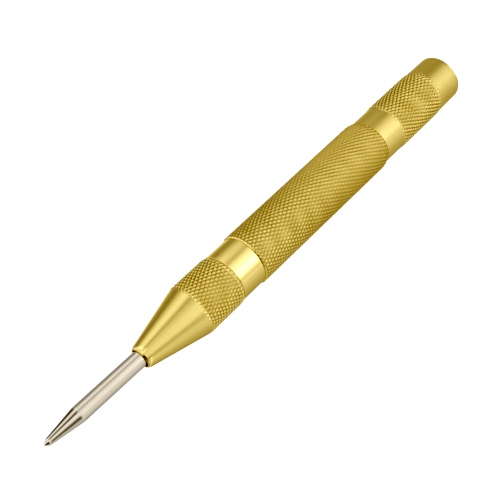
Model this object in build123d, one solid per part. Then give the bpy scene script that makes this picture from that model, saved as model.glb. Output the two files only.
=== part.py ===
from build123d import *
import math
import os

# Automatic (spring-loaded) centre punch, lying on its side.
# Frame: X runs along the tool with the point at -X, Z is up, the knurled
# barrel rests on the plane z = 0.
# Stations along the tool are measured from the tip of the point, in mm, and
# at() turns a station into an x coordinate.

# ---------------------------------------------------------------- overall
LENGTH = 130.0            # tip to rear face
BARREL_D = 12.42          # over the knurl crests
AXIS_Z = BARREL_D / 2     # the tool's centre line above the resting plane

# ---------------------------------------------------------------- nose cap
NOSE_FRONT = 25.7         # front face of the nose
NOSE_MOUTH_D = 4.10       # bore that guides the point
NOSE_LIP_D = 4.9          # flat ring round the bore
NOSE_RIM_D = 6.15         # rounded rim where the cone starts
NOSE_RIM_END = 27.8
NOSE_CONE_END = 41.1
NOSE_KNURL_D = 12.32
NOSE_KNURL_END = 49.95
NOSE_CHAMFER_END = 51.0
COLLAR_D = 11.78
NOSE_MOUTH_END = 31.0     # step that holds the point's shoulder
NOSE_MID_BORE_D = 5.9
NOSE_MID_BORE_END = 41.0
NOSE_REAR_BORE_D = 7.4
NOSE_THREAD_D = 9.9       # male M10 x 1 thread, over its crests
NOSE_THREAD_END = 65.15

# ---------------------------------------------------------------- barrel
BARREL_FRONT = 57.6
BARREL_KNURL_END = 99.4
BARREL_REAR = 101.2
BARREL_REAR_D = 11.47
THREAD_BORE_D = 10.0      # female M10 x 1 thread at both ends
FRONT_THREAD_END = 65.2
WEB_MOUTH_D = 6.4         # conical mouth that centres the drive pin
WEB_MOUTH_END = 66.5
WEB_HOLE_D = 3.8
WEB_END = 68.6
HAMMER_BORE_D = 8.2
HAMMER_BORE_END = 93.6

# ---------------------------------------------------------------- adjusting cap
CAP_FRONT = 101.25        # shoulder that meets the barrel
BAND_D = 11.42
BAND_END = 107.25
CAP_KNURL_D = 11.82
CAP_KNURL_START = 108.5
CAP_KNURL_END = 121.05
CAP_CHAMFER_END = 122.5
CAP_END_D1 = 11.36        # smooth end, just behind the knurl
CAP_END_D2 = 11.19        # smooth end, at the rear
CAP_END_RADIUS = 1.0
CAP_THREAD_D = 9.9        # male M10 x 1 thread, over its crests
CAP_THREAD_START = 94.2
CAP_BORE_D = 8.0
CAP_BORE_END = 117.0
CAP_DRILL_END = 119.1
THREAD_PITCH = 1.0

# ---------------------------------------------------------------- point and drive pin
PIN_LEAN_DEG = 0.84       # the return spring cocks the pin off the centre line
PIN_LEAN_STATION = 30.0   # where the leaning pin crosses the centre line
PIN_LEAN_ROLL = 25.0      # direction in which the tip leans, from +Y towards +Z
TIP_D = 1.60
TIP_LENGTH = 0.95
POINT_D = 3.72
POINT_CONE_END = 8.65
POINT_CONE_D = 3.66
SHOULDER_D = 5.2
SHOULDER_START = 31.1
SHOULDER_END = 33.6
POINT_TAIL_D = 4.0
POINT_TAIL_END = 45.95
DRIVE_HEAD_D = 5.6
DRIVE_HEAD_START = 43.0
DRIVE_SOCKET_D = 4.1
DRIVE_SOCKET_END = 46.0
DRIVE_HEAD_END = 49.0
DRIVE_BODY_D = 3.6
DRIVE_BODY_END = 57.6
DRIVE_CONE_END = 58.8
DRIVE_STEM_D = 2.6
DRIVE_STEM_END = 68.52

# ---------------------------------------------------------------- hammer
HAMMER_D = 8.04
HAMMER_START = 68.65
HAMMER_END = 84.65
HAMMER_HOLE_D = 2.8
HAMMER_HOLE_END = 79.2
HAMMER_SPIGOT_D = 4.6
HAMMER_SPIGOT_END = 87.65

# ---------------------------------------------------------------- springs and seat
MAIN_WIRE_D = 1.2
MAIN_MEAN_D = 6.25
MAIN_TURNS = 10.5
SEAT_D = 7.8
SEAT_START = 114.95
SEAT_END = 116.95
SEAT_SPIGOT_D = 4.6
SEAT_SPIGOT_START = 112.6
RETURN_WIRE_D = 0.6
RETURN_SMALL_MEAN_D = 5.05
RETURN_LARGE_MEAN_D = 6.45
RETURN_TURNS = 6.0
SPRING_GAP = 0.08


def at(station):
    return station - LENGTH / 2


def turned(points):
    """A turned solid. points are (station, radius) round the half section."""
    with BuildPart() as made:
        with BuildSketch(Plane.XZ):
            with BuildLine():
                Polyline(*[(at(s), r) for s, r in points], close=True)
            make_face()
        revolve(axis=Axis.X, revolution_arc=360)
    return Pos(0, 0, AXIS_Z) * made.part


def leaned(shape):
    """Tilt a coaxial shape so that its tip leans by the cocking angle."""
    roll = math.radians(PIN_LEAN_ROLL)
    pivot = (at(PIN_LEAN_STATION), 0, AXIS_Z)
    # the tip side moves along (0, cos roll, sin roll)
    axis = Axis(pivot, (0, math.sin(roll), -math.cos(roll)))
    return shape.rotate(axis, PIN_LEAN_DEG)


# ================================================================ nose cap
nose_cap = turned([
    (NOSE_FRONT, NOSE_MOUTH_D / 2),
    (NOSE_FRONT, NOSE_LIP_D / 2),
    (NOSE_FRONT + 0.35, NOSE_LIP_D / 2 + 0.22),
    (NOSE_FRONT + 0.95, NOSE_RIM_D / 2 - 0.27),
    (NOSE_FRONT + 1.50, NOSE_RIM_D / 2 - 0.08),
    (NOSE_RIM_END, NOSE_RIM_D / 2),
    (NOSE_CONE_END, NOSE_KNURL_D / 2),
    (NOSE_KNURL_END, NOSE_KNURL_D / 2),
    (NOSE_KNURL_END + 0.45, NOSE_KNURL_D / 2 - 0.08),
    (NOSE_CHAMFER_END, COLLAR_D / 2),
    (BARREL_FRONT, COLLAR_D / 2),
    (BARREL_FRONT, NOSE_THREAD_D / 2),
    (NOSE_THREAD_END - 0.5, NOSE_THREAD_D / 2),
    (NOSE_THREAD_END, NOSE_THREAD_D / 2 - 0.5),
    (NOSE_THREAD_END, NOSE_REAR_BORE_D / 2),
    (NOSE_MID_BORE_END + 0.45, NOSE_REAR_BORE_D / 2),
    (NOSE_MID_BORE_END, NOSE_MID_BORE_D / 2),
    (NOSE_MOUTH_END, NOSE_MID_BORE_D / 2),
    (NOSE_MOUTH_END, NOSE_MOUTH_D / 2),
])

# ================================================================ barrel
barrel = turned([
    (BARREL_FRONT, THREAD_BORE_D / 2),
    (BARREL_FRONT, BARREL_D / 2 - 0.12),
    (BARREL_FRONT + 0.12, BARREL_D / 2),
    (BARREL_KNURL_END, BARREL_D / 2),
    (BARREL_KNURL_END + 0.7, BARREL_D / 2 - 0.12),
    (BARREL_REAR, BARREL_REAR_D / 2),
    (BARREL_REAR, THREAD_BORE_D / 2),
    (HAMMER_BORE_END, THREAD_BORE_D / 2),
    (HAMMER_BORE_END, HAMMER_BORE_D / 2),
    (WEB_END, HAMMER_BORE_D / 2),
    (WEB_END, WEB_HOLE_D / 2),
    (WEB_MOUTH_END, WEB_HOLE_D / 2),
    (FRONT_THREAD_END, WEB_MOUTH_D / 2),
    (FRONT_THREAD_END, THREAD_BORE_D / 2),
])

# ================================================================ adjusting cap
rear_round = []
for i in range(0, 7):
    a = math.radians(90 - 15 * i)
    rear_round.append((LENGTH - CAP_END_RADIUS + CAP_END_RADIUS * math.cos(a),
                       CAP_END_D2 / 2 - CAP_END_RADIUS + CAP_END_RADIUS * math.sin(a)))
adjusting_cap = turned([
    (CAP_THREAD_START, CAP_BORE_D / 2),
    (CAP_THREAD_START, CAP_THREAD_D / 2 - 0.4),
    (CAP_THREAD_START + 0.4, CAP_THREAD_D / 2),
    (CAP_FRONT, CAP_THREAD_D / 2),
    (CAP_FRONT, BAND_D / 2),
    (BAND_END, BAND_D / 2),
    (CAP_KNURL_START, CAP_KNURL_D / 2),
    (CAP_KNURL_END, CAP_KNURL_D / 2),
    (CAP_CHAMFER_END, CAP_END_D1 / 2),
    *rear_round,
    (LENGTH, 0),
    (CAP_DRILL_END, 0),
    (CAP_BORE_END, CAP_BORE_D / 2),
])

# ================================================================ point
punch_point = leaned(turned([
    (0, 0),
    (TIP_LENGTH, TIP_D / 2),
    (POINT_CONE_END, POINT_CONE_D / 2),
    (POINT_CONE_END + 0.3, POINT_D / 2),
    (SHOULDER_START, POINT_D / 2),
    (SHOULDER_START, SHOULDER_D / 2),
    (SHOULDER_END - 0.3, SHOULDER_D / 2),
    (SHOULDER_END, SHOULDER_D / 2 - 0.3),
    (SHOULDER_END, POINT_TAIL_D / 2),
    (POINT_TAIL_END - 0.3, POINT_TAIL_D / 2),
    (POINT_TAIL_END, POINT_TAIL_D / 2 - 0.3),
    (POINT_TAIL_END, 0),
]))

# ================================================================ drive pin
drive_pin = leaned(turned([
    (DRIVE_HEAD_START, DRIVE_SOCKET_D / 2),
    (DRIVE_HEAD_START, DRIVE_HEAD_D / 2 - 0.25),
    (DRIVE_HEAD_START + 0.25, DRIVE_HEAD_D / 2),
    (DRIVE_HEAD_END, DRIVE_HEAD_D / 2),
    (DRIVE_HEAD_END, DRIVE_BODY_D / 2),
    (DRIVE_BODY_END, DRIVE_BODY_D / 2),
    (DRIVE_CONE_END, DRIVE_STEM_D / 2),
    (DRIVE_STEM_END, DRIVE_STEM_D / 2),
    (DRIVE_STEM_END, 0),
    (DRIVE_SOCKET_END, 0),
    (DRIVE_SOCKET_END, DRIVE_SOCKET_D / 2),
]))

# ================================================================ hammer
hammer = turned([
    (HAMMER_START, HAMMER_HOLE_D / 2),
    (HAMMER_START, HAMMER_D / 2 - 0.3),
    (HAMMER_START + 0.3, HAMMER_D / 2),
    (HAMMER_END - 0.3, HAMMER_D / 2),
    (HAMMER_END, HAMMER_D / 2 - 0.3),
    (HAMMER_END, HAMMER_SPIGOT_D / 2),
    (HAMMER_SPIGOT_END - 0.4, HAMMER_SPIGOT_D / 2),
    (HAMMER_SPIGOT_END, HAMMER_SPIGOT_D / 2 - 0.4),
    (HAMMER_SPIGOT_END, 0),
    (HAMMER_HOLE_END + 0.8, 0),
    (HAMMER_HOLE_END, HAMMER_HOLE_D / 2),
])

# ================================================================ spring seat
spring_seat = turned([
    (SEAT_SPIGOT_START, 0),
    (SEAT_SPIGOT_START, SEAT_SPIGOT_D / 2 - 0.3),
    (SEAT_SPIGOT_START + 0.3, SEAT_SPIGOT_D / 2),
    (SEAT_START, SEAT_SPIGOT_D / 2),
    (SEAT_START, SEAT_D / 2),
    (SEAT_END - 0.3, SEAT_D / 2),
    (SEAT_END, SEAT_D / 2 - 0.3),
    (SEAT_END, 0),
])


def coil(start, end, d_start, d_end, wire_d, turns):
    """An open coil of round wire between two stations."""
    s0 = start + wire_d / 2 + SPRING_GAP
    s1 = end - wire_d / 2 - SPRING_GAP
    height = s1 - s0
    cone = math.degrees(math.atan((d_end - d_start) / 2 / height))
    path = Helix(pitch=height / turns, height=height, radius=d_start / 2,
                 cone_angle=cone)
    section = Plane(origin=path @ 0, z_dir=path % 0) * Circle(wire_d / 2)
    wire = sweep(section, path=path, is_frenet=True)
    return Pos(at(s0), 0, AXIS_Z) * (Rot(0, 90, 0) * wire)


# ================================================================ springs
return_spring = coil(DRIVE_HEAD_END, FRONT_THREAD_END, RETURN_SMALL_MEAN_D,
                     RETURN_LARGE_MEAN_D, RETURN_WIRE_D, RETURN_TURNS)
main_spring = coil(HAMMER_END, SEAT_START, MAIN_MEAN_D, MAIN_MEAN_D,
                   MAIN_WIRE_D, MAIN_TURNS)

parts = {
    "nose_cap": nose_cap,
    "barrel": barrel,
    "adjusting_cap": adjusting_cap,
    "punch_point": punch_point,
    "drive_pin": drive_pin,
    "return_spring": return_spring,
    "hammer": hammer,
    "main_spring": main_spring,
    "spring_seat": spring_seat,
}

os.makedirs("parts", exist_ok=True)
for name, shape in parts.items():
    export_step(shape, f"parts/{name}.step")
    print(f"{name:14s} volume {shape.volume:9.3f} mm3  valid {shape.is_valid}")
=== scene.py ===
import math

import bpy
import numpy as np
from mathutils import Matrix, Vector


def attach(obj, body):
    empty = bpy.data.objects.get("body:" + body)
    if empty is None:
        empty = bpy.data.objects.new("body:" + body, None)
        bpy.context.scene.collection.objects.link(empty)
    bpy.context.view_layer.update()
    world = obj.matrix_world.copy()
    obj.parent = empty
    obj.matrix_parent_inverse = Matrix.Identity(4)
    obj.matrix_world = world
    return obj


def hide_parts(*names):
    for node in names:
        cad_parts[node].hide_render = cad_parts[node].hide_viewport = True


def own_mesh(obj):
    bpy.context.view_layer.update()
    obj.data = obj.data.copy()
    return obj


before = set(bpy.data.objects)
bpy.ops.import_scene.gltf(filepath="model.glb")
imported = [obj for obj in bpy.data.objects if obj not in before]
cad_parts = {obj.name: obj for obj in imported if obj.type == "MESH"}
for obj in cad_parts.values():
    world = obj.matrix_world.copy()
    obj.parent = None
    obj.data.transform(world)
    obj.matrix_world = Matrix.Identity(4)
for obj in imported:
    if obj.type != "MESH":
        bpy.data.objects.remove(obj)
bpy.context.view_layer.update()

MM = 0.001
LENGTH = 130.0
AXIS_Z = 6.21                      # centre line above the floor, mm
START = -65.0                      # x of the tip at rest, mm


# --------------------------------------------------------------------------
# mesh helpers
# --------------------------------------------------------------------------
def new_mesh_object(name, verts, faces, slots, face_slots=None, attrs=None):
    me = bpy.data.meshes.new(name)
    me.from_pydata([tuple(v) for v in verts], [], faces)
    for m in slots:
        me.materials.append(m)
    if face_slots is not None:
        me.polygons.foreach_set("material_index", np.asarray(face_slots, np.int32))
    me.polygons.foreach_set("use_smooth", np.ones(len(me.polygons), bool))
    for key, values in (attrs or {}).items():
        a = me.attributes.new(key, "FLOAT", "POINT")
        a.data.foreach_set("value", np.asarray(values, np.float32))
    me.validate(verbose=False)
    me.update()
    ob = bpy.data.objects.new(name, me)
    bpy.context.scene.collection.objects.link(ob)
    return ob


def rounded(points, seg=4, support=0.035):
    """points: (u, r, radius). Each corner with a radius becomes an arc, with a close row on each side."""
    out = []
    n = len(points)
    for i in range(n):
        u, r, rad = points[i][:3]
        tag = points[i][3] if len(points[i]) > 3 else None
        if rad <= 0 or i == 0 or i == n - 1:
            out.append((u, r, tag))
            continue
        p = np.array([u, r], float)
        a = np.array(points[i - 1][:2], float) - p
        b = np.array(points[i + 1][:2], float) - p
        la, lb = np.linalg.norm(a), np.linalg.norm(b)
        a, b = a / la, b / lb
        half = math.acos(max(-1, min(1, float(a @ b)))) / 2
        if abs(half - math.pi / 2) < 0.01:
            out.append((u, r, tag))
            continue
        t = min(rad / math.tan(half), 0.45 * la, 0.45 * lb)
        rr = t * math.tan(half)
        mid = (a + b) / np.linalg.norm(a + b)
        c = p + mid * rr / math.sin(half)
        s, e = p + a * t, p + b * t
        if la - t > 2.5 * support:
            q = s + a * support
            out.append((q[0], q[1], tag))
        a0 = math.atan2(s[1] - c[1], s[0] - c[0])
        a1 = math.atan2(e[1] - c[1], e[0] - c[0])
        d = (a1 - a0 + math.pi) % (2 * math.pi) - math.pi
        k = max(2, int(math.ceil(seg * abs(d) / (math.pi / 2))) + 1)
        for j in range(k + 1):
            w = a0 + d * j / k
            out.append((c[0] + rr * math.cos(w), c[1] + rr * math.sin(w), tag))
        if lb - t > 2.5 * support:
            q = e + b * support
            out.append((q[0], q[1], tag))
    return out


def densify(path, zones):
    """Adds rows inside the stations of each zone (u0, u1, step), in the order of the path."""
    out = [path[0]]
    for (u0, r0, t0), (u1, r1, t1) in zip(path, path[1:]):
        if t0 == t1 and t0 is not None and abs(u1 - u0) > 1e-6:
            lo, hi = sorted((u0, u1))
            found = set()
            for z0, z1, step in zones.get(t0, []):
                a, b = max(lo, z0), min(hi, z1)
                if b - a > step * 1.05:
                    k = int(math.ceil((b - a) / step))
                    found |= {round(a + (b - a) * j / k, 6) for j in range(k + 1)}
            us = sorted(x for x in found if lo + 1e-4 < x < hi - 1e-4)
            if u1 < u0:
                us = us[::-1]
            out += [(x, r0 + (r1 - r0) * (x - u0) / (u1 - u0), t0) for x in us]
        out.append((u1, r1, t1))
    return out


def lathe(name, rings, slots, place=None):
    """rings: dicts with u, r (number or one per column), n, mat, cav. The last ring joins the first."""
    verts, cav, starts, pos = [], [], [], 0
    for g in rings:
        n = g["n"]
        starts.append(pos)
        r = np.asarray(g["r"], float)
        if n == 1:
            verts.append(np.array([[g["u"], 0.0, 0.0]]))
            cav.append(np.zeros(1))
            pos += 1
            continue
        th = 2 * math.pi * np.arange(n) / n
        r = np.broadcast_to(r, (n,))
        u = np.broadcast_to(np.asarray(g["u"], float), (n,))
        verts.append(np.stack([u, r * np.cos(th), r * np.sin(th)], 1))
        cav.append(np.broadcast_to(np.asarray(g.get("cav", 0.0), float), (n,)))
        pos += n
    v = np.concatenate(verts)
    faces, mats = [], []
    m = len(rings)
    for i in range(m):
        a, b = rings[i], rings[(i + 1) % m]
        if a["n"] == 1 and b["n"] == 1:
            continue
        sa, sb = starts[i], starts[(i + 1) % m]
        na, nb = a["n"], b["n"]
        made = []
        if na == nb:
            k = np.arange(na)
            k1 = (k + 1) % na
            made = np.stack([sa + k, sa + k1, sb + k1, sb + k], 1).tolist()
        elif nb == 1:
            made = [[sa + k, sa + (k + 1) % na, sb] for k in range(na)]
        elif na == 1:
            made = [[sa, sb + (k + 1) % nb, sb + k] for k in range(nb)]
        elif na > nb:
            q = na // nb
            for j in range(nb):
                j1 = (j + 1) % nb
                h = q // 2
                for k in range(q):
                    f0, f1 = sa + (j * q + k) % na, sa + (j * q + k + 1) % na
                    made.append([f0, f1, sb + (j if k < h else j1)])
                    if k == h:
                        made.append([f0, sb + j1, sb + j])
        else:
            q = nb // na
            for j in range(na):
                j1 = (j + 1) % na
                h = q // 2
                for k in range(q):
                    f0, f1 = sb + (j * q + k) % nb, sb + (j * q + k + 1) % nb
                    made.append([f1, f0, sa + (j if k < h else j1)])
                    if k == h:
                        made.append([sa + j, sa + j1, f0])
        faces += made
        mats += [b.get("mat", 0) if a.get("mat", 0) != b.get("mat", 0) and a.get("last") else a.get("mat", 0)] * len(made)
    # a face loop that runs along a closed half section the other way is turned inside out
    area = 0.0
    for i in range(m):
        a, b = rings[i], rings[(i + 1) % m]
        ra, rb = float(np.mean(a["r"])) if a["n"] > 1 else 0.0, float(np.mean(b["r"])) if b["n"] > 1 else 0.0
        area += float(np.mean(a["u"])) * rb - float(np.mean(b["u"])) * ra
    if area < 0:
        faces = [f[::-1] for f in faces]
    if place is not None:
        v = place(v)
    v = np.stack([v[:, 0] + START, v[:, 1], v[:, 2] + AXIS_Z], 1) * MM
    return new_mesh_object(name, v, faces, slots, mats, {"groove": np.concatenate(cav)})


# --------------------------------------------------------------------------
# the knurl: two families of helical grooves
# --------------------------------------------------------------------------
KNURL_PER_MM = 0.605               # grooves along the axis, per mm


def soft_noise(u, th, seed, scale_u=0.35, turns=5):
    """A smooth, closed pattern round the tool, from -1 to 1."""
    rng = np.random.RandomState(seed)
    total = np.zeros(np.broadcast(u, th).shape)
    for _ in range(9):
        k = rng.randint(1, turns + 1)
        f = rng.uniform(0.3, 1.0) * scale_u * 2 * math.pi
        total = total + np.sin(k * th + f * u * rng.choice([-1, 1]) + rng.uniform(0, 6.28))
    return total / 4.5


def knurl(u, th, n, depth, fade1=None, seed=1, pillow=0.5, sharp=0.9):
    """Depth below the crests, in mm."""
    wob = 0.045 * soft_noise(u, th, seed + 10, 0.9, 9)
    p1 = n * th / (2 * math.pi) + KNURL_PER_MM * u + wob
    p2 = n * th / (2 * math.pi) - KNURL_PER_MM * u + wob * 0.6
    g1 = (0.5 + 0.5 * np.cos(2 * math.pi * p1)) ** sharp
    g2 = (0.5 + 0.5 * np.cos(2 * math.pi * p2)) ** sharp
    m1 = 1.0 if fade1 is None else fade1(u)
    vary = 1.0 + 0.12 * soft_noise(u, th, seed + 20, 0.25, 4)
    g1, g2 = g1 * m1, g2
    h = (1 - pillow) * np.maximum(g1, g2) + pillow * 0.5 * (g1 + g2)
    return depth * vary * h


def helix(u, th, pitch, depth, flat=0.16):
    """A right-hand thread's depth below its crest. The same phase is used for male and female threads."""
    p = (u / pitch - th / (2 * math.pi)) % 1.0
    w = np.abs(p - 0.5) * 2                  # 0 at the root, 1 at the crest
    return depth * (1 - np.clip((w - flat) / (1 - 2 * flat), 0, 1))


# --------------------------------------------------------------------------
# materials
# --------------------------------------------------------------------------
def tree(name):
    m = bpy.data.materials.new(name)
    m.use_nodes = True
    nt = m.node_tree
    nt.nodes.clear()
    out = nt.nodes.new("ShaderNodeOutputMaterial")
    bsdf = nt.nodes.new("ShaderNodeBsdfPrincipled")
    nt.links.new(bsdf.outputs["BSDF"], out.inputs["Surface"])
    return m, nt, bsdf


def node(nt, kind, **values):
    n = nt.nodes.new(kind)
    for k, v in values.items():
        setattr(n, k, v)
    return n


def math_node(nt, op, a, b=None, clamp=False):
    n = nt.nodes.new("ShaderNodeMath")
    n.operation = op
    n.use_clamp = clamp
    for i, x in enumerate((a, b)):
        if x is None:
            continue
        if isinstance(x, (int, float)):
            n.inputs[i].default_value = x
        else:
            nt.links.new(x, n.inputs[i])
    return n.outputs[0]


def ramp(nt, fac, stops, interpolation="LINEAR"):
    n = nt.nodes.new("ShaderNodeValToRGB")
    n.color_ramp.interpolation = interpolation
    e = n.color_ramp.elements
    while len(e) > 1:
        e.remove(e[-1])
    e[0].position = stops[0][0]
    e[0].color = (*stops[0][1], 1)
    for p, c in stops[1:]:
        x = e.new(p)
        x.color = (*c, 1)
    nt.links.new(fac, n.inputs[0])
    return n.outputs[0]


def noise(nt, vector, scale, detail=3.0, rough=0.55, dims="3D"):
    n = nt.nodes.new("ShaderNodeTexNoise")
    n.noise_dimensions = dims
    n.inputs["Scale"].default_value = scale
    n.inputs["Detail"].default_value = detail
    n.inputs["Roughness"].default_value = rough
    nt.links.new(vector, n.inputs["W" if dims == "1D" else "Vector"])
    return n.outputs["Fac"]


def metal(name, light, dark, rough, rough_vary=0.08, lines_per_mm=9.0, line_bump=0.12,
          grain_bump=0.05, mottling=0.35, groove=None, anisotropy=0.5, edge=None, duller=None):
    """A turned metal surface: rings round the tool's axis, fine grain, and a slow drift of colour and gloss."""
    m, nt, bsdf = tree(name)
    coord = node(nt, "ShaderNodeTexCoord")
    obj = coord.outputs["Object"]
    sep = node(nt, "ShaderNodeSeparateXYZ")
    nt.links.new(obj, sep.inputs[0])
    # rings left by the cutting tool
    rings = noise(nt, math_node(nt, "MULTIPLY", sep.outputs["X"], 1000.0 * lines_per_mm), 1.0, 4.0, 0.65, "1D")
    # the rings come and go round the piece
    stretched = node(nt, "ShaderNodeMapping")
    stretched.inputs["Scale"].default_value = (2600.0, 160.0, 160.0)
    nt.links.new(obj, stretched.inputs["Vector"])
    streaks = noise(nt, stretched.outputs[0], 1.0, 3.0, 0.6)
    slow = noise(nt, obj, 95.0, 3.0, 0.55)
    grain = noise(nt, obj, 9000.0, 2.0, 0.5)
    # colour
    fac = math_node(nt, "ADD", math_node(nt, "MULTIPLY", slow, mottling * 1.6),
                    math_node(nt, "MULTIPLY", streaks, 1 - mottling * 0.9))
    mid = tuple((a + b) / 2 for a, b in zip(light, dark))
    col = ramp(nt, fac, [(0.30, dark), (0.50, mid), (0.70, light)])
    # painted shade: the groove attribute mixes the colour towards a dark colour in hollows (knurl grooves, thread
    # roots, the bore, narrow grooves), with some grime in the knurl's grooves; on the point's cone it paints dark
    # reflection streaks
    if groove is not None:
        att = node(nt, "ShaderNodeAttribute", attribute_name="groove")
        g = att.outputs["Fac"]
        mix = node(nt, "ShaderNodeMix", data_type="RGBA", blend_type="MIX")
        nt.links.new(math_node(nt, "MULTIPLY", math_node(nt, "POWER", g, groove[2]), groove[1], True),
                     mix.inputs["Factor"])
        nt.links.new(col, mix.inputs["A"])
        mix.inputs["B"].default_value = (*groove[0], 1)
        col = mix.outputs["Result"]
    if duller is not None:
        # the surface gets duller, and darker in colour, from one station (mm) to another
        far = math_node(nt, "MULTIPLY", math_node(nt, "SUBTRACT", math_node(nt, "MULTIPLY", sep.outputs["X"], 1000.0),
                        duller[0] + START), 1.0 / (duller[1] - duller[0]), True)
        darker_mix = node(nt, "ShaderNodeMix", data_type="RGBA", blend_type="MIX")
        nt.links.new(math_node(nt, "MULTIPLY", far, 0.45), darker_mix.inputs["Factor"])
        nt.links.new(col, darker_mix.inputs["A"])
        darker_mix.inputs["B"].default_value = (0.72, 0.56, 0.225, 1)
        col = darker_mix.outputs["Result"]
    nt.links.new(col, bsdf.inputs["Base Color"])
    # gloss
    r = math_node(nt, "ADD", math_node(nt, "MULTIPLY", math_node(nt, "SUBTRACT", slow, 0.5), rough_vary * 2),
                  math_node(nt, "ADD", math_node(nt, "MULTIPLY", math_node(nt, "SUBTRACT", streaks, 0.5), rough_vary), rough))
    if groove is not None:
        r = math_node(nt, "ADD", r, math_node(nt, "MULTIPLY", g, 0.10))
    if duller is not None:
        r = math_node(nt, "ADD", r, math_node(nt, "MULTIPLY", far, duller[2]))
    nt.links.new(math_node(nt, "MINIMUM", math_node(nt, "MAXIMUM", r, 0.04), 0.9), bsdf.inputs["Roughness"])
    # relief
    height = math_node(nt, "ADD", math_node(nt, "MULTIPLY", rings, 1.0),
                       math_node(nt, "MULTIPLY", streaks, 0.6))
    bump = node(nt, "ShaderNodeBump")
    bump.inputs["Strength"].default_value = line_bump
    bump.inputs["Distance"].default_value = 0.00002
    nt.links.new(height, bump.inputs["Height"])
    bump2 = node(nt, "ShaderNodeBump")
    bump2.inputs["Strength"].default_value = grain_bump
    bump2.inputs["Distance"].default_value = 0.00001
    nt.links.new(grain, bump2.inputs["Height"])
    nt.links.new(bump.outputs[0], bump2.inputs["Normal"])
    nt.links.new(bump2.outputs[0], bsdf.inputs["Normal"])
    bsdf.inputs["Metallic"].default_value = 1.0
    if edge is not None:
        bsdf.inputs["Specular Tint"].default_value = (*edge, 1)
    if anisotropy:
        tan = node(nt, "ShaderNodeTangent", direction_type="RADIAL", axis="X")
        nt.links.new(tan.outputs[0], bsdf.inputs["Tangent"])
        bsdf.inputs["Anisotropic"].default_value = anisotropy
        bsdf.inputs["Anisotropic Rotation"].default_value = 0.25
    return m


BRASS_LIGHT = (0.915, 0.715, 0.295)
BRASS_DARK = (0.885, 0.685, 0.272)
# painted shade: the dark colour laid in the brass's hollows, with some grime in the knurl's grooves
BRASS_PIT_SHADE = (0.41, 0.302, 0.103)
CREST_LIGHT, CREST_DARK = (0.955, 0.755, 0.32), (0.925, 0.725, 0.30)
BRASS_EDGE = (0.94, 0.86, 0.66)
brass_polished = metal("brass_polished", BRASS_LIGHT, BRASS_DARK, 0.145, 0.03, 9, 0.05, 0.03, 0.3, edge=BRASS_EDGE)
brass_satin = metal("brass_satin", BRASS_LIGHT, BRASS_DARK, 0.29, 0.04, 8, 0.12, 0.08, 0.4, edge=BRASS_EDGE)
brass_knurl = metal("brass_knurled", CREST_LIGHT, CREST_DARK, 0.24, 0.05, 8, 0.10, 0.18, 0.5,
                    groove=(BRASS_PIT_SHADE, 0.85, 1.4), anisotropy=0.0, edge=BRASS_EDGE)
# the barrel's knurl grooves get a painted shade colour of their own, close to the one above
brass_barrel = metal("brass_knurled_barrel", CREST_LIGHT, CREST_DARK, 0.31, 0.05, 8, 0.10, 0.18, 0.5,
                     groove=((0.42, 0.309, 0.105), 0.92, 1.3), anisotropy=0.0, edge=BRASS_EDGE, duller=(68.0, 88.0, 0.15))
brass_thread = metal("brass_thread", BRASS_LIGHT, BRASS_DARK, 0.25, 0.06, 8, 0.12, 0.06, 0.4,
                     groove=(BRASS_PIT_SHADE, 0.5, 1.2), anisotropy=0.0, edge=BRASS_EDGE)
steel_ground = metal("steel_ground", (0.735, 0.665, 0.545), (0.705, 0.635, 0.52), 0.15, 0.04, 10, 0.12, 0.05, 0.35, anisotropy=0.7)
# painted reflections: the dark colour of the streaks down the point's cone
steel_tip = metal("steel_tip", (0.82, 0.75, 0.62), (0.78, 0.71, 0.58), 0.10, 0.03, 12, 0.10, 0.03, 0.35,
                  groove=((0.20, 0.17, 0.12), 1.0, 1.0), anisotropy=0.3)
steel_hard = metal("steel_hardened", (0.42, 0.40, 0.38), (0.28, 0.265, 0.25), 0.32, 0.08, 7, 0.3, 0.1, 0.5)
steel_wire = metal("steel_wire", (0.50, 0.49, 0.47), (0.33, 0.32, 0.31), 0.30, 0.08, 6, 0.1, 0.15, 0.6, anisotropy=0.0)


# --------------------------------------------------------------------------
# nose cap
# --------------------------------------------------------------------------
def rings_from(path, n, field=None, mats=None):
    """path points (u, r, tag) to rings. field(u, th, r) gives (crest radius, depth) on tagged rows; a row never stands above its profile."""
    out = []
    th = 2 * math.pi * np.arange(n) / n
    for u, r, tag in path:
        mat = (mats or {}).get(tag, 0)
        if tag is not None and field and tag in field:
            crest, depth, most = field[tag](u, th, r)
            rr = np.minimum(r, crest - depth)
            # painted shade, with some grime: the deeper a point lies below its crest, the darker its colour
            out.append({"u": u, "r": rr, "n": n, "mat": mat, "cav": np.clip((r - rr) / most, 0, 1)})
        else:
            out.append({"u": u, "r": r, "n": n, "mat": mat})
    return out


KN = 41                              # grooves of each hand round the barrel and the nose
COLS = KN * 9                        # 369
ROW = 1 / KNURL_PER_MM / 10



def lip(p0, p1, p2, p3, k=14):
    """A soft, round edge from p0 to p3."""
    t = np.linspace(0, 1, k + 1)[:, None]
    p0, p1, p2, p3 = (np.array(q, float) for q in (p0, p1, p2, p3))
    c = (1 - t) ** 3 * p0 + 3 * t * (1 - t) ** 2 * p1 + 3 * t * t * (1 - t) * p2 + t ** 3 * p3
    return [(float(x), float(y), "o") for x, y in c]


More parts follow.
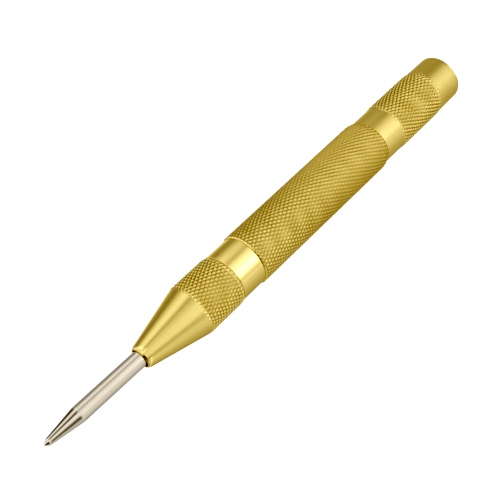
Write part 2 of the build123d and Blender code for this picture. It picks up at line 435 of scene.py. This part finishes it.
SLOPE = (6.16 - 2.82) / (41.1 - 26.75)      # of the nose's cone
outer = lip((25.7, 2.09), (25.7, 2.52), (26.45, 6.16 - (41.1 - 26.45) * SLOPE), (27.3, 6.16 - (41.1 - 27.3) * SLOPE))
outer += rounded([
    (27.3, 6.16 - (41.1 - 27.3) * SLOPE, 0, "o"),
    (41.1, 6.16, 0.12, "o"),
    (49.95, 6.16, 0.3, "o"),
    (50.62, 5.99, 0.15, "o"),
    (50.82, 5.81, 0.05, "o"),
    (50.98, 5.81, 0.04, "o"),
    (51.06, 5.885, 0.04, "o"),
    (57.53, 5.885, 0.03, "o"),
    (57.58, 5.84, 0, "o"),
], seg=8, support=0.03)[1:]
outer = densify(outer, {"o": [(40.0, 50.8, ROW), (27.3, 40.0, 0.9), (51.3, 57.2, 1.5)]})


def nose_knurl(u, th, r):
    env = np.clip((u - 40.15) / 0.35, 0, 1) * np.clip((50.78 - u) / 0.1, 0, 1)
    d = knurl(u, th, KN, 0.31, seed=3, pillow=0.36, sharp=1.1)
    return (6.16, d * env, 0.29) if 40.1 < u < 50.78 else (99.0, np.zeros_like(th), 1.0)


nose_rings = rings_from(outer, COLS, {"o": nose_knurl})
for g in nose_rings:
    g["mat"] = 1 if 40.7 <= g["u"] <= 50.99 else 0
    # painted shade in the narrow groove at the knurl's end
    if 50.80 < g["u"] < 51.0:
        g["cav"] = np.full(COLS, 0.8)
inner_n = COLS // 3
spigot = densify([(57.58, 4.95, "t"), (64.65, 4.95, "t"), (65.15, 4.45, "t")], {"t": [(57.5, 65.2, 0.125)]})
thn = 2 * math.pi * np.arange(inner_n) / inner_n


MALE_CREST = 4.88      # the thread stands clear of the barrel's, by more than the two meshes' coarseness
RELIEF = 4.36          # groove beside the shoulder, below the barrel's thread


def male(u, r, n, mat):
    th = 2 * math.pi * np.arange(n) / n
    d = helix(u, th, 1.0, 0.55)
    neck = np.clip((58.9 - u) / 0.3, 0, 1)
    rr = np.minimum(np.minimum(r, MALE_CREST - d), MALE_CREST - (MALE_CREST - RELIEF) * neck)
    # painted shade in the thread's roots and in the relief groove
    return {"u": u, "r": rr, "n": n, "mat": mat, "cav": np.maximum(d / 0.55, 0.6 * neck)}


nose_rings += [male(u, r, inner_n, 2) for u, r, _ in spigot]
bore = [(65.15, 3.70), (41.45, 3.70), (41.0, 2.95), (31.0, 2.95), (31.0, 2.05), (25.75, 2.05)]
# painted shade: the whole bore takes the full dark colour
nose_rings += [{"u": u, "r": r, "n": inner_n, "mat": 1, "cav": 1.0} for u, r in bore]
nose = lathe("nose_cap_shell", nose_rings, [brass_polished, brass_knurl, brass_thread])
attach(nose, "housing")
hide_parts("nose_cap")

# --------------------------------------------------------------------------
# barrel
# --------------------------------------------------------------------------
BCOLS = KN * 8                       # 328
outer = rounded([
    (57.6, 5.80, 0, "o"),
    (57.6, 5.93, 0.03, "o"),
    (57.86, 6.21, 0.05, "o"),
    (99.6, 6.21, 0.5, "o"),
    (100.6, 5.97, 0.5, "o"),
    (101.2, 5.74, 0.03, "o"),
    (101.2, 5.50, 0, "o"),
], seg=6, support=0.03)
outer = densify(outer, {"o": [(57.86, 101.2, 1 / KNURL_PER_MM / 9)]})


def barrel_fade(u):
    return 1.0 - 0.55 * np.clip((u - 70.0) / 18.0, 0, 1)


def barrel_knurl(u, th, r):
    # a guess from one view: the knurl looks flatter on this side towards the cap, which is read here as wear
    side = np.clip(-0.3 + 1.5 * np.cos(th - math.radians(175.0)), 0, 1)
    worn = 1.0 - 0.40 * np.clip((u - 72.0) / 18.0, 0, 1) * side
    env = np.clip((u - 57.80) / 0.2, 0, 1) * worn
    d = knurl(u, th, KN, 0.23, fade1=barrel_fade, seed=5, pillow=0.46, sharp=1.0)
    # the grooves on this side also get darker in colour towards the cap
    side_darker = 1.0 - 0.40 * np.clip((u - 64.0) / 20.0, 0, 1) * side
    return (min(6.21, r), d * env, 0.23 * worn * side_darker) if 57.8 < u < 101.19 else (99.0, np.zeros_like(th), 1.0)


barrel_rings = rings_from(outer, BCOLS, {"o": barrel_knurl})
for g in barrel_rings:
    g["mat"] = 0
bn = BCOLS // 4
thb = 2 * math.pi * np.arange(bn) / bn


def female(u, n):
    th = 2 * math.pi * np.arange(n) / n
    d = helix(u, th, 1.0, 0.55)
    # painted shade in the thread's roots
    return {"u": u, "r": 5.0 - d, "n": n, "mat": 1, "cav": 1 - d / 0.55}


def rows(u0, u1, step):
    k = int(math.ceil(abs(u1 - u0) / step))
    return [u0 + (u1 - u0) * j / k for j in range(k + 1)]


barrel_rings += [{"u": 101.2, "r": 5.02, "n": bn, "mat": 2}]
barrel_rings += [female(u, bn) for u in rows(101.15, 93.65, 0.125)]
barrel_rings += [{"u": 93.6, "r": 4.9, "n": bn, "mat": 2}, {"u": 93.6, "r": 4.10, "n": bn, "mat": 2},
                 {"u": 68.6, "r": 4.10, "n": bn, "mat": 2}, {"u": 68.6, "r": 1.90, "n": bn, "mat": 2},
                 {"u": 66.5, "r": 1.90, "n": bn, "mat": 2}, {"u": 65.2, "r": 3.20, "n": bn, "mat": 2}]
barrel_rings += [female(u, bn) for u in rows(65.25, 57.7, 0.125)]
barrel_rings += [{"u": 57.6, "r": 5.02, "n": bn, "mat": 2}]
barrel = lathe("barrel_tube", barrel_rings, [brass_barrel, brass_thread, brass_satin])
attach(barrel, "housing")
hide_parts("barrel")

# --------------------------------------------------------------------------
# adjusting cap
# --------------------------------------------------------------------------
CN = 39
CCOLS = CN * 9                       # 351
outer = rounded([
    (101.27, 5.0, 0, "o"),
    (101.27, 5.69, 0.01, "o"),
    (101.29, 5.71, 0.01, "o"),
    (107.2, 5.71, 0.25, "o"),
    (108.2, 5.91, 0.3, "o"),
    (121.2, 5.91, 0.3, "o"),
    (122.36, 5.71, 0.05, "o"),
    (122.42, 5.655, 0.03, "o"),
    (122.54, 5.655, 0.03, "o"),
    (122.60, 5.679, 0.03, "o"),
    (129.95, 5.595, 0.0, "o"),
], seg=6, support=0.03)[:-1]
end_arc = [(129.0 + 1.0 * math.sin(math.radians(x)), 4.595 + 1.0 * math.cos(math.radians(x)), "o") for x in range(0, 91, 9)]
outer = densify(outer + [(128.95, 5.5965, "o")] + end_arc + [(130.0, 4.5, "o")],
                {"o": [(107.0, 122.4, ROW), (101.5, 107.0, 1.2), (122.7, 129.0, 1.2)]})


def cap_knurl(u, th, r):
    env = np.clip((u - 107.1) / 0.3, 0, 1) * np.clip((122.40 - u) / 0.1, 0, 1)
    d = knurl(u, th, CN, 0.31, fade1=lambda x: 0.95 - 0.1 * np.clip((x - 112) / 8, 0, 1), seed=8, pillow=0.34, sharp=1.1)
    return (5.91, d * env, 0.29) if 107.1 < u < 122.4 else (99.0, np.zeros_like(th), 1.0)


cap_rings = rings_from(outer, CCOLS, {"o": cap_knurl})
for g in cap_rings:
    g["mat"] = 1 if 107.5 <= g["u"] <= 122.55 else 0
    # painted shade in the narrow groove at the knurl's end
    if 122.40 < g["u"] < 122.56:
        g["cav"] = np.full(CCOLS, 0.55)
cn = CCOLS // 3
cap_rings += [{"u": 130.0, "r": 3.0, "n": cn, "mat": 0}, {"u": 130.0, "r": 1.2, "n": 39, "mat": 0},
              {"u": 130.0, "r": 0.0, "n": 1, "mat": 0}, {"u": 119.1, "r": 0.0, "n": 1, "mat": 0},
              {"u": 118.4, "r": 1.4, "n": 39, "mat": 0},
              {"u": 117.0, "r": 4.0, "n": cn, "mat": 0}, {"u": 94.2, "r": 4.0, "n": cn, "mat": 0}]
spigot = densify([(94.2, 4.5, "t"), (94.65, 4.95, "t"), (101.2, 4.95, "t")], {"t": [(94.2, 101.2, 0.125)]})


def male_cap(u, r, n):
    th = 2 * math.pi * np.arange(n) / n
    d = helix(u, th, 1.0, 0.55)
    neck = np.clip((u - 100.0) / 0.3, 0, 1)
    rr = np.minimum(np.minimum(r, MALE_CREST - d), MALE_CREST - (MALE_CREST - RELIEF) * neck)
    # painted shade in the thread's roots and in the relief groove
    return {"u": u, "r": rr, "n": n, "mat": 2, "cav": np.maximum(d / 0.55, 0.6 * neck)}


cap_rings += [male_cap(u, r, cn) for u, r, _ in spigot]
cap = lathe("adjusting_cap_body", cap_rings, [brass_satin, brass_knurl, brass_thread])
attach(cap, "cap")
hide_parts("adjusting_cap")

# --------------------------------------------------------------------------
# point: it leans in its bore, because the return spring cocks it
# --------------------------------------------------------------------------
LEAN, LEAN_AT, LEAN_ROLL = math.radians(0.84), 30.0, math.radians(25.0)


def leaned(v):
    d = v[:, 0] - LEAN_AT
    ca, sa = math.cos(LEAN), math.sin(LEAN)
    ey, ez = math.cos(LEAN_ROLL), math.sin(LEAN_ROLL)
    across = v[:, 1] * ey + v[:, 2] * ez
    du = ca * d + sa * across
    da = -sa * d + ca * across
    return np.stack([LEAN_AT + du, v[:, 1] + (da - across) * ey, v[:, 2] + (da - across) * ez], 1)


PC = 120
path = rounded([
    (0.0, 0.0, 0, "c"),
    (0.06, 0.13, 0.08, "c"),
    (0.95, 0.80, 0.5, "c"),
    (8.70, 1.835, 0.12, "c"),
    (9.0, 1.86, 0.2, "s"),
    (31.1, 1.86, 0, "s"),
    (31.1, 2.60, 0.06, "s"),
    (33.3, 2.60, 0.08, "s"),
    (33.6, 2.30, 0.0, "s"),
    (33.6, 2.00, 0.0, "s"),
    (45.65, 2.00, 0.0, "s"),
    (45.95, 1.70, 0.0, "s"),
    (45.95, 0.6, 0.0, "s"),
], seg=8)
path = densify(path, {"s": [(9.0, 31.0, 1.0)], "c": [(0.0, 9.0, 0.4)]})


def painted_dark_streaks(u, n):
    """Painted reflections: dark streaks down the cone, three on the front side where the polished cone reflects dark
    stretches of the studio, and more round the back, so that they go all the way round.
    """
    a = (np.degrees(2 * math.pi * np.arange(n) / n) - 116.8 + 180) % 360 - 180
    total = np.zeros(n)
    for at, width, deep in ((-59, 10, 1.0), (-18, 6, 1.0), (25, 11, 1.0), (104, 7, 0.8), (138, 6, 0.9), (172, 8, 0.8),
                            (-148, 6, 0.9), (-112, 8, 0.8)):
        d = (a - at + 180) % 360 - 180
        total = np.maximum(total, deep * np.exp(-0.5 * (d / width) ** 2))
    return total * np.clip((u - 0.95) / 0.5, 0, 1) * np.clip((8.72 - u) / 0.12, 0, 1)


tip_rings = [{"u": 0.0, "r": 0.0, "n": 1, "mat": 0}]
for u, r, t in path[1:]:
    # painted reflections: the cone carries dark streaks in its colour
    tip_rings.append({"u": u, "r": r, "n": PC, "mat": 1 if 0.95 < u < 8.75 else 0, "cav": painted_dark_streaks(u, PC)})
tip_rings.append({"u": 45.95, "r": 0.0, "n": 1, "mat": 0})
point = lathe("punch_point_bit", tip_rings, [steel_ground, steel_tip], place=leaned)
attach(point, "punch")
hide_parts("punch_point")


# --------------------------------------------------------------------------
# springs
# --------------------------------------------------------------------------
def spring(name, u0, u1, d0, d1, wire, active, material):
    """A compression spring with closed, ground ends."""
    steps = 40
    closed = 1.0
    turns = active + 2 * closed
    k = int(turns * steps)
    t = np.arange(k + 1) / steps                      # turns so far
    x0, x1 = u0 + wire * 0.30, u1 - wire * 0.30
    rise = wire * 0.98
    span = (x1 - x0) - 2 * rise * closed
    x = np.where(t < closed, x0 + rise * t,
                 np.where(t < turns - closed, x0 + rise * closed + span * (t - closed) / active,
                          x1 - rise * (turns - t)))
    ker = np.ones(15) / 15
    pad = np.concatenate([np.full(7, x[0]), x, np.full(7, x[-1])])
    sm = np.convolve(pad, ker, "valid")
    w = np.clip(np.minimum(np.arange(k + 1), k - np.arange(k + 1)) / 12.0, 0, 1)
    x = x * (1 - w) + sm * w
    rad = (d0 + (d1 - d0) * (x - u0) / (u1 - u0)) / 2
    a = 2 * math.pi * t
    c = np.stack([x, rad * np.cos(a), rad * np.sin(a)], 1)
    d = np.gradient(c, axis=0)
    d /= np.linalg.norm(d, axis=1)[:, None]
    out = np.stack([np.zeros(k + 1), np.cos(a), np.sin(a)], 1)
    out -= (out * d).sum(1)[:, None] * d
    out /= np.linalg.norm(out, axis=1)[:, None]
    side = np.cross(d, out)
    n = 14
    b = 2 * math.pi * np.arange(n) / n
    v = (c[:, None] + wire / 2 * (np.cos(b)[None, :, None] * out[:, None] + np.sin(b)[None, :, None] * side[:, None])).reshape(-1, 3)
    v[:, 0] = np.clip(v[:, 0], u0, u1)
    faces = []
    for i in range(k):
        for j in range(n):
            j1 = (j + 1) % n
            faces.append([i * n + j, i * n + j1, (i + 1) * n + j1, (i + 1) * n + j])
    v = np.concatenate([v, c[:1], c[-1:]])
    e0, e1 = len(v) - 2, len(v) - 1
    for j in range(n):
        j1 = (j + 1) % n
        faces.append([e0, j1, j])
        faces.append([e1, k * n + j, k * n + j1])
    v = np.stack([v[:, 0] + START, v[:, 1], v[:, 2] + AXIS_Z], 1) * MM
    return new_mesh_object(name, v, faces, [material])


main = spring("main_spring_coil", 84.75, 114.85, 6.25, 6.25, 1.2, 9.0, steel_wire)
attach(main, "seat")
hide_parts("main_spring")
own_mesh(main)

ret = spring("return_spring_coil", 49.08, 65.12, 5.05, 6.45, 0.6, 5.0, steel_wire)
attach(ret, "housing")
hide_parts("return_spring")
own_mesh(ret)

# CAD pieces whose shape is right get their metal
for name, material in (("drive_pin", steel_hard), ("hammer", steel_hard), ("spring_seat", steel_hard)):
    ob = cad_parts[name] if not isinstance(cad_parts[name], str) else bpy.data.objects[name]
    if not ob.material_slots:
        ob.data.materials.append(material)
    for s in ob.material_slots:
        s.material = material

# --------------------------------------------------------------------------
# floor, backdrop, studio light
# --------------------------------------------------------------------------
def plain(name, colour, emission):
    m, nt, bsdf = tree(name)
    nt.nodes.remove(bsdf)
    out = [n for n in nt.nodes if n.type == "OUTPUT_MATERIAL"][0]
    dif = node(nt, "ShaderNodeBsdfDiffuse")
    dif.inputs["Color"].default_value = (*colour, 1)
    em = node(nt, "ShaderNodeEmission")
    em.inputs["Color"].default_value = (1, 1, 1, 1)
    em.inputs["Strength"].default_value = emission
    add = node(nt, "ShaderNodeAddShader")
    nt.links.new(dif.outputs[0], add.inputs[0])
    nt.links.new(em.outputs[0], add.inputs[1])
    nt.links.new(add.outputs[0], out.inputs["Surface"])
    return m


bpy.ops.mesh.primitive_plane_add(size=12.0, location=(0, 0, -0.00003))
floor = bpy.context.object
floor.name = "floor"
floor.data.materials.append(plain("floor_paper", (0.30, 0.30, 0.30), 1.0))
floor.visible_glossy = False

bpy.ops.mesh.primitive_uv_sphere_add(segments=48, ring_count=24, radius=5.9, location=(0, 0, 0))
dome = bpy.context.object
dome.name = "backdrop"
dome.data.materials.append(plain("backdrop_paper", (0, 0, 0), 1.05))
for flag in ("visible_diffuse", "visible_glossy", "visible_transmission", "visible_volume_scatter", "visible_shadow"):
    setattr(dome, flag, False)

world = bpy.data.worlds.new("studio")
bpy.context.scene.world = world
world.use_nodes = True
nt = world.node_tree
nt.nodes.clear()
wout = nt.nodes.new("ShaderNodeOutputWorld")
bg = nt.nodes.new("ShaderNodeBackground")
nt.links.new(bg.outputs[0], wout.inputs["Surface"])
co = nt.nodes.new("ShaderNodeTexCoord")
sp = nt.nodes.new("ShaderNodeSeparateXYZ")
nt.links.new(co.outputs["Generated"], sp.inputs[0])
# angle round the tool's axis, 0 facing up and towards the front, + towards the front and down
ZERO = math.radians(116.8)
ang = math_node(nt, "ARCTAN2", sp.outputs["Z"], sp.outputs["Y"])
ang = math_node(nt, "SUBTRACT", ang, ZERO)
def smooth(nt, value, lo, hi, rising=True):
    n = nt.nodes.new("ShaderNodeMapRange")
    n.interpolation_type = "SMOOTHSTEP"
    nt.links.new(value, n.inputs["Value"])
    n.inputs["From Min"].default_value = lo
    n.inputs["From Max"].default_value = hi
    n.inputs["To Min"].default_value = 0.0 if rising else 1.0
    n.inputs["To Max"].default_value = 1.0 if rising else 0.0
    return n.outputs["Result"]


def window(nt, p0, p1, s0, s1, x0, x1, q0, q1):
    """1 inside a panel of light, 0 outside: p in degrees round the tool, x along it, with soft edges s and q wide."""
    c, h = (p0 + p1) / 2, (p1 - p0) / 2
    d = nt.nodes.new("ShaderNodeMath")
    d.operation = "WRAP"
    nt.links.new(math_node(nt, "SUBTRACT", degrees, c), d.inputs[0])
    d.inputs[1].default_value = 180.0
    d.inputs[2].default_value = -180.0
    d = d.outputs[0]
    w = math_node(nt, "MULTIPLY", smooth(nt, d, -h - s0 / 2, -h + s0 / 2), smooth(nt, d, h - s1 / 2, h + s1 / 2, False))
    w = math_node(nt, "MULTIPLY", w, smooth(nt, sp.outputs["X"], x0 - q0 / 2, x0 + q0 / 2))
    return math_node(nt, "MULTIPLY", w, smooth(nt, sp.outputs["X"], x1 - q1 / 2, x1 + q1 / 2, False))


degrees = math_node(nt, "MULTIPLY", ang, 180.0 / math.pi)
# soft panels of light: from, to (degrees round the tool), edge widths; from, to (along it), edge widths; brightness
PANELS = [
    (-85.21, -28.99, 49.92, 14.81, -0.3318, 0.4853, 0.07206, 0.06635, 0.8677),  # left strip
    (-23.63, 36.98, 50.34, 38.53, 0.4573, 0.4653, 0.09805, 0.07002, 3.184),  # main strip
    (-28.77, 57.05, 57.99, 44.05, 0.06831, 0.7041, 0.2536, 0.06926, 0.9358),  # main wide
    (-25.56, 44.48, 60, 48.9, -0.6297, 0.08021, 0.1798, 0.06323, 0.8467),  # nose strip
    (73.61, 127.6, 36.08, 47.36, -0.6177, 0.5632, 0.2885, 0.5072, 0.2527),  # right strip
    (-181.5, -143.5, 32.82, 37.36, 0.2242, 0.5858, 0.7965, 0.09064, 0.6288),  # rim
    (-145.8, -14.74, 25.7, 9.666, -1.3, -0.1308, 0.1, 0.1866, 0.6951),  # front left
    (52.82, 150.8, 12.24, 29.75, -0.2032, -0.09121, 0.09594, 0.1499, 0.6855),  # front right
    (-35.5, 118.6, 5.165, 45.38, 0.9273, 1.2, 0.1112, 0.3, 2.628),  # cap fill
    (48.08, 87.62, 17.13, 52.55, -0.5037, 0.6827, 0.2399, 0.1883, 0.4739),  # edge light
    (7.048, 36.88, 24.77, 29.61, 0.4433, 0.5045, 0.09567, 0.1177, 2.344),  # core
]
# dark gaps between the panels, with how much light each one takes away
GAPS = [
    (-46.11, -28.49, 20.21, 6.927, -0.3992, 0.4778, 0.2845, 0.06023, 0.5483),  # gap left
    (44.8, 58.97, 28.52, 8.496, -0.7434, 0.6277, 0.276, 0.1763, 0.3332),  # gap right
]
light = math_node(nt, "ADD", math_node(nt, "MULTIPLY", math_node(nt, "COSINE", ang), -0.1588),
                  math_node(nt, "ADD", math_node(nt, "MULTIPLY", sp.outputs["X"], 0.1689), 0.2555))
for *shape, brightness in PANELS:
    light = math_node(nt, "ADD", light, math_node(nt, "MULTIPLY", window(nt, *shape), brightness))
# dim fill beyond the point, which only the far side of the tool reflects: keeps it from going black in other views
fill = window(nt, -75.0, 125.0, 70.0, 70.0, -1.4, -0.50, 0.1, 0.22)
# a dark stretch in it, which keeps the nose's lip and the barrel's front edge dark
fill = math_node(nt, "MULTIPLY", fill, math_node(nt, "SUBTRACT", 1.0, math_node(
    nt, "MULTIPLY", window(nt, 12.0, 108.0, 22.0, 22.0, -1.4, -0.70, 0.1, 0.10), 0.9)))
light = math_node(nt, "ADD", light, math_node(nt, "MULTIPLY", fill, 0.34))
for *shape, share in GAPS:
    light = math_node(nt, "MULTIPLY", light, math_node(nt, "SUBTRACT", 1.0, math_node(nt, "MULTIPLY", window(nt, *shape), share)))
light = math_node(nt, "MAXIMUM", light, 0.03)
nt.links.new(light, bg.inputs["Color"])
bg.inputs["Strength"].default_value = 1.0
world.cycles.sampling_method = "MANUAL"
world.cycles.sample_map_resolution = 1024

# --------------------------------------------------------------------------
# camera
# --------------------------------------------------------------------------
FOCAL_PX = 1200.0
AZ, EL = math.radians(-49.85), math.radians(51.92)
back = Vector((math.sin(AZ) * math.cos(EL), -math.cos(AZ) * math.cos(EL), math.sin(EL)))
right = Vector((math.cos(AZ), math.sin(AZ), 0))
up = back.cross(right)
DIST = 253.38
S_DIR = right * 0.7297 + up * 0.6837
T_DIR = right * 0.6837 - up * 0.7297
ON_AXIS = Vector((START + 60.36, 0, AXIS_Z))
eye = ON_AXIS - T_DIR * 0.8114 + back * DIST
cam_data = bpy.data.cameras.new("camera")
cam_data.sensor_width = 36.0
cam_data.lens = FOCAL_PX * 36.0 / 500.0
cam_data.clip_start = 0.005
cam_data.clip_end = 60.0
cam = bpy.data.objects.new("camera", cam_data)
bpy.context.scene.collection.objects.link(cam)
cam.location = eye * MM
cam.rotation_mode = "QUATERNION"
ROLL = math.radians(-0.1454)
cam_right = right * math.cos(ROLL) + up * math.sin(ROLL)
cam_up = up * math.cos(ROLL) - right * math.sin(ROLL)
cam.rotation_quaternion = Matrix((cam_right, cam_up, back)).transposed().to_quaternion()
bpy.context.scene.camera = cam

bpy.context.scene.view_settings.view_transform = "Standard"
bpy.context.scene.view_settings.look = "None"


def to_linear(code):
    c = code / 255.0
    return c / 12.92 if c <= 0.04045 else ((c + 0.055) / 1.055) ** 2.4


# a contrasty product-photo tone: the shadows fall off faster than on a plain screen
view = bpy.context.scene.view_settings
view.use_curve_mapping = True
curve = view.curve_mapping.curves[3]
tone = [(0.0, 0.0)]
for x in (0.08, 0.10, 0.12, 0.15, 0.18, 0.22, 0.27, 0.33, 0.40, 0.50, 0.62, 0.78, 0.96):
    tone.append((x, max(0.0, to_linear(max(0.0, 245 + 100 * math.log(x / 0.913))))))
tone.append((1.0, 1.0))
curve.points[0].location = tone[0]
curve.points[-1].location = tone[-1]
for x, y in tone[1:-1]:
    curve.points.new(x, y)
view.curve_mapping.update()
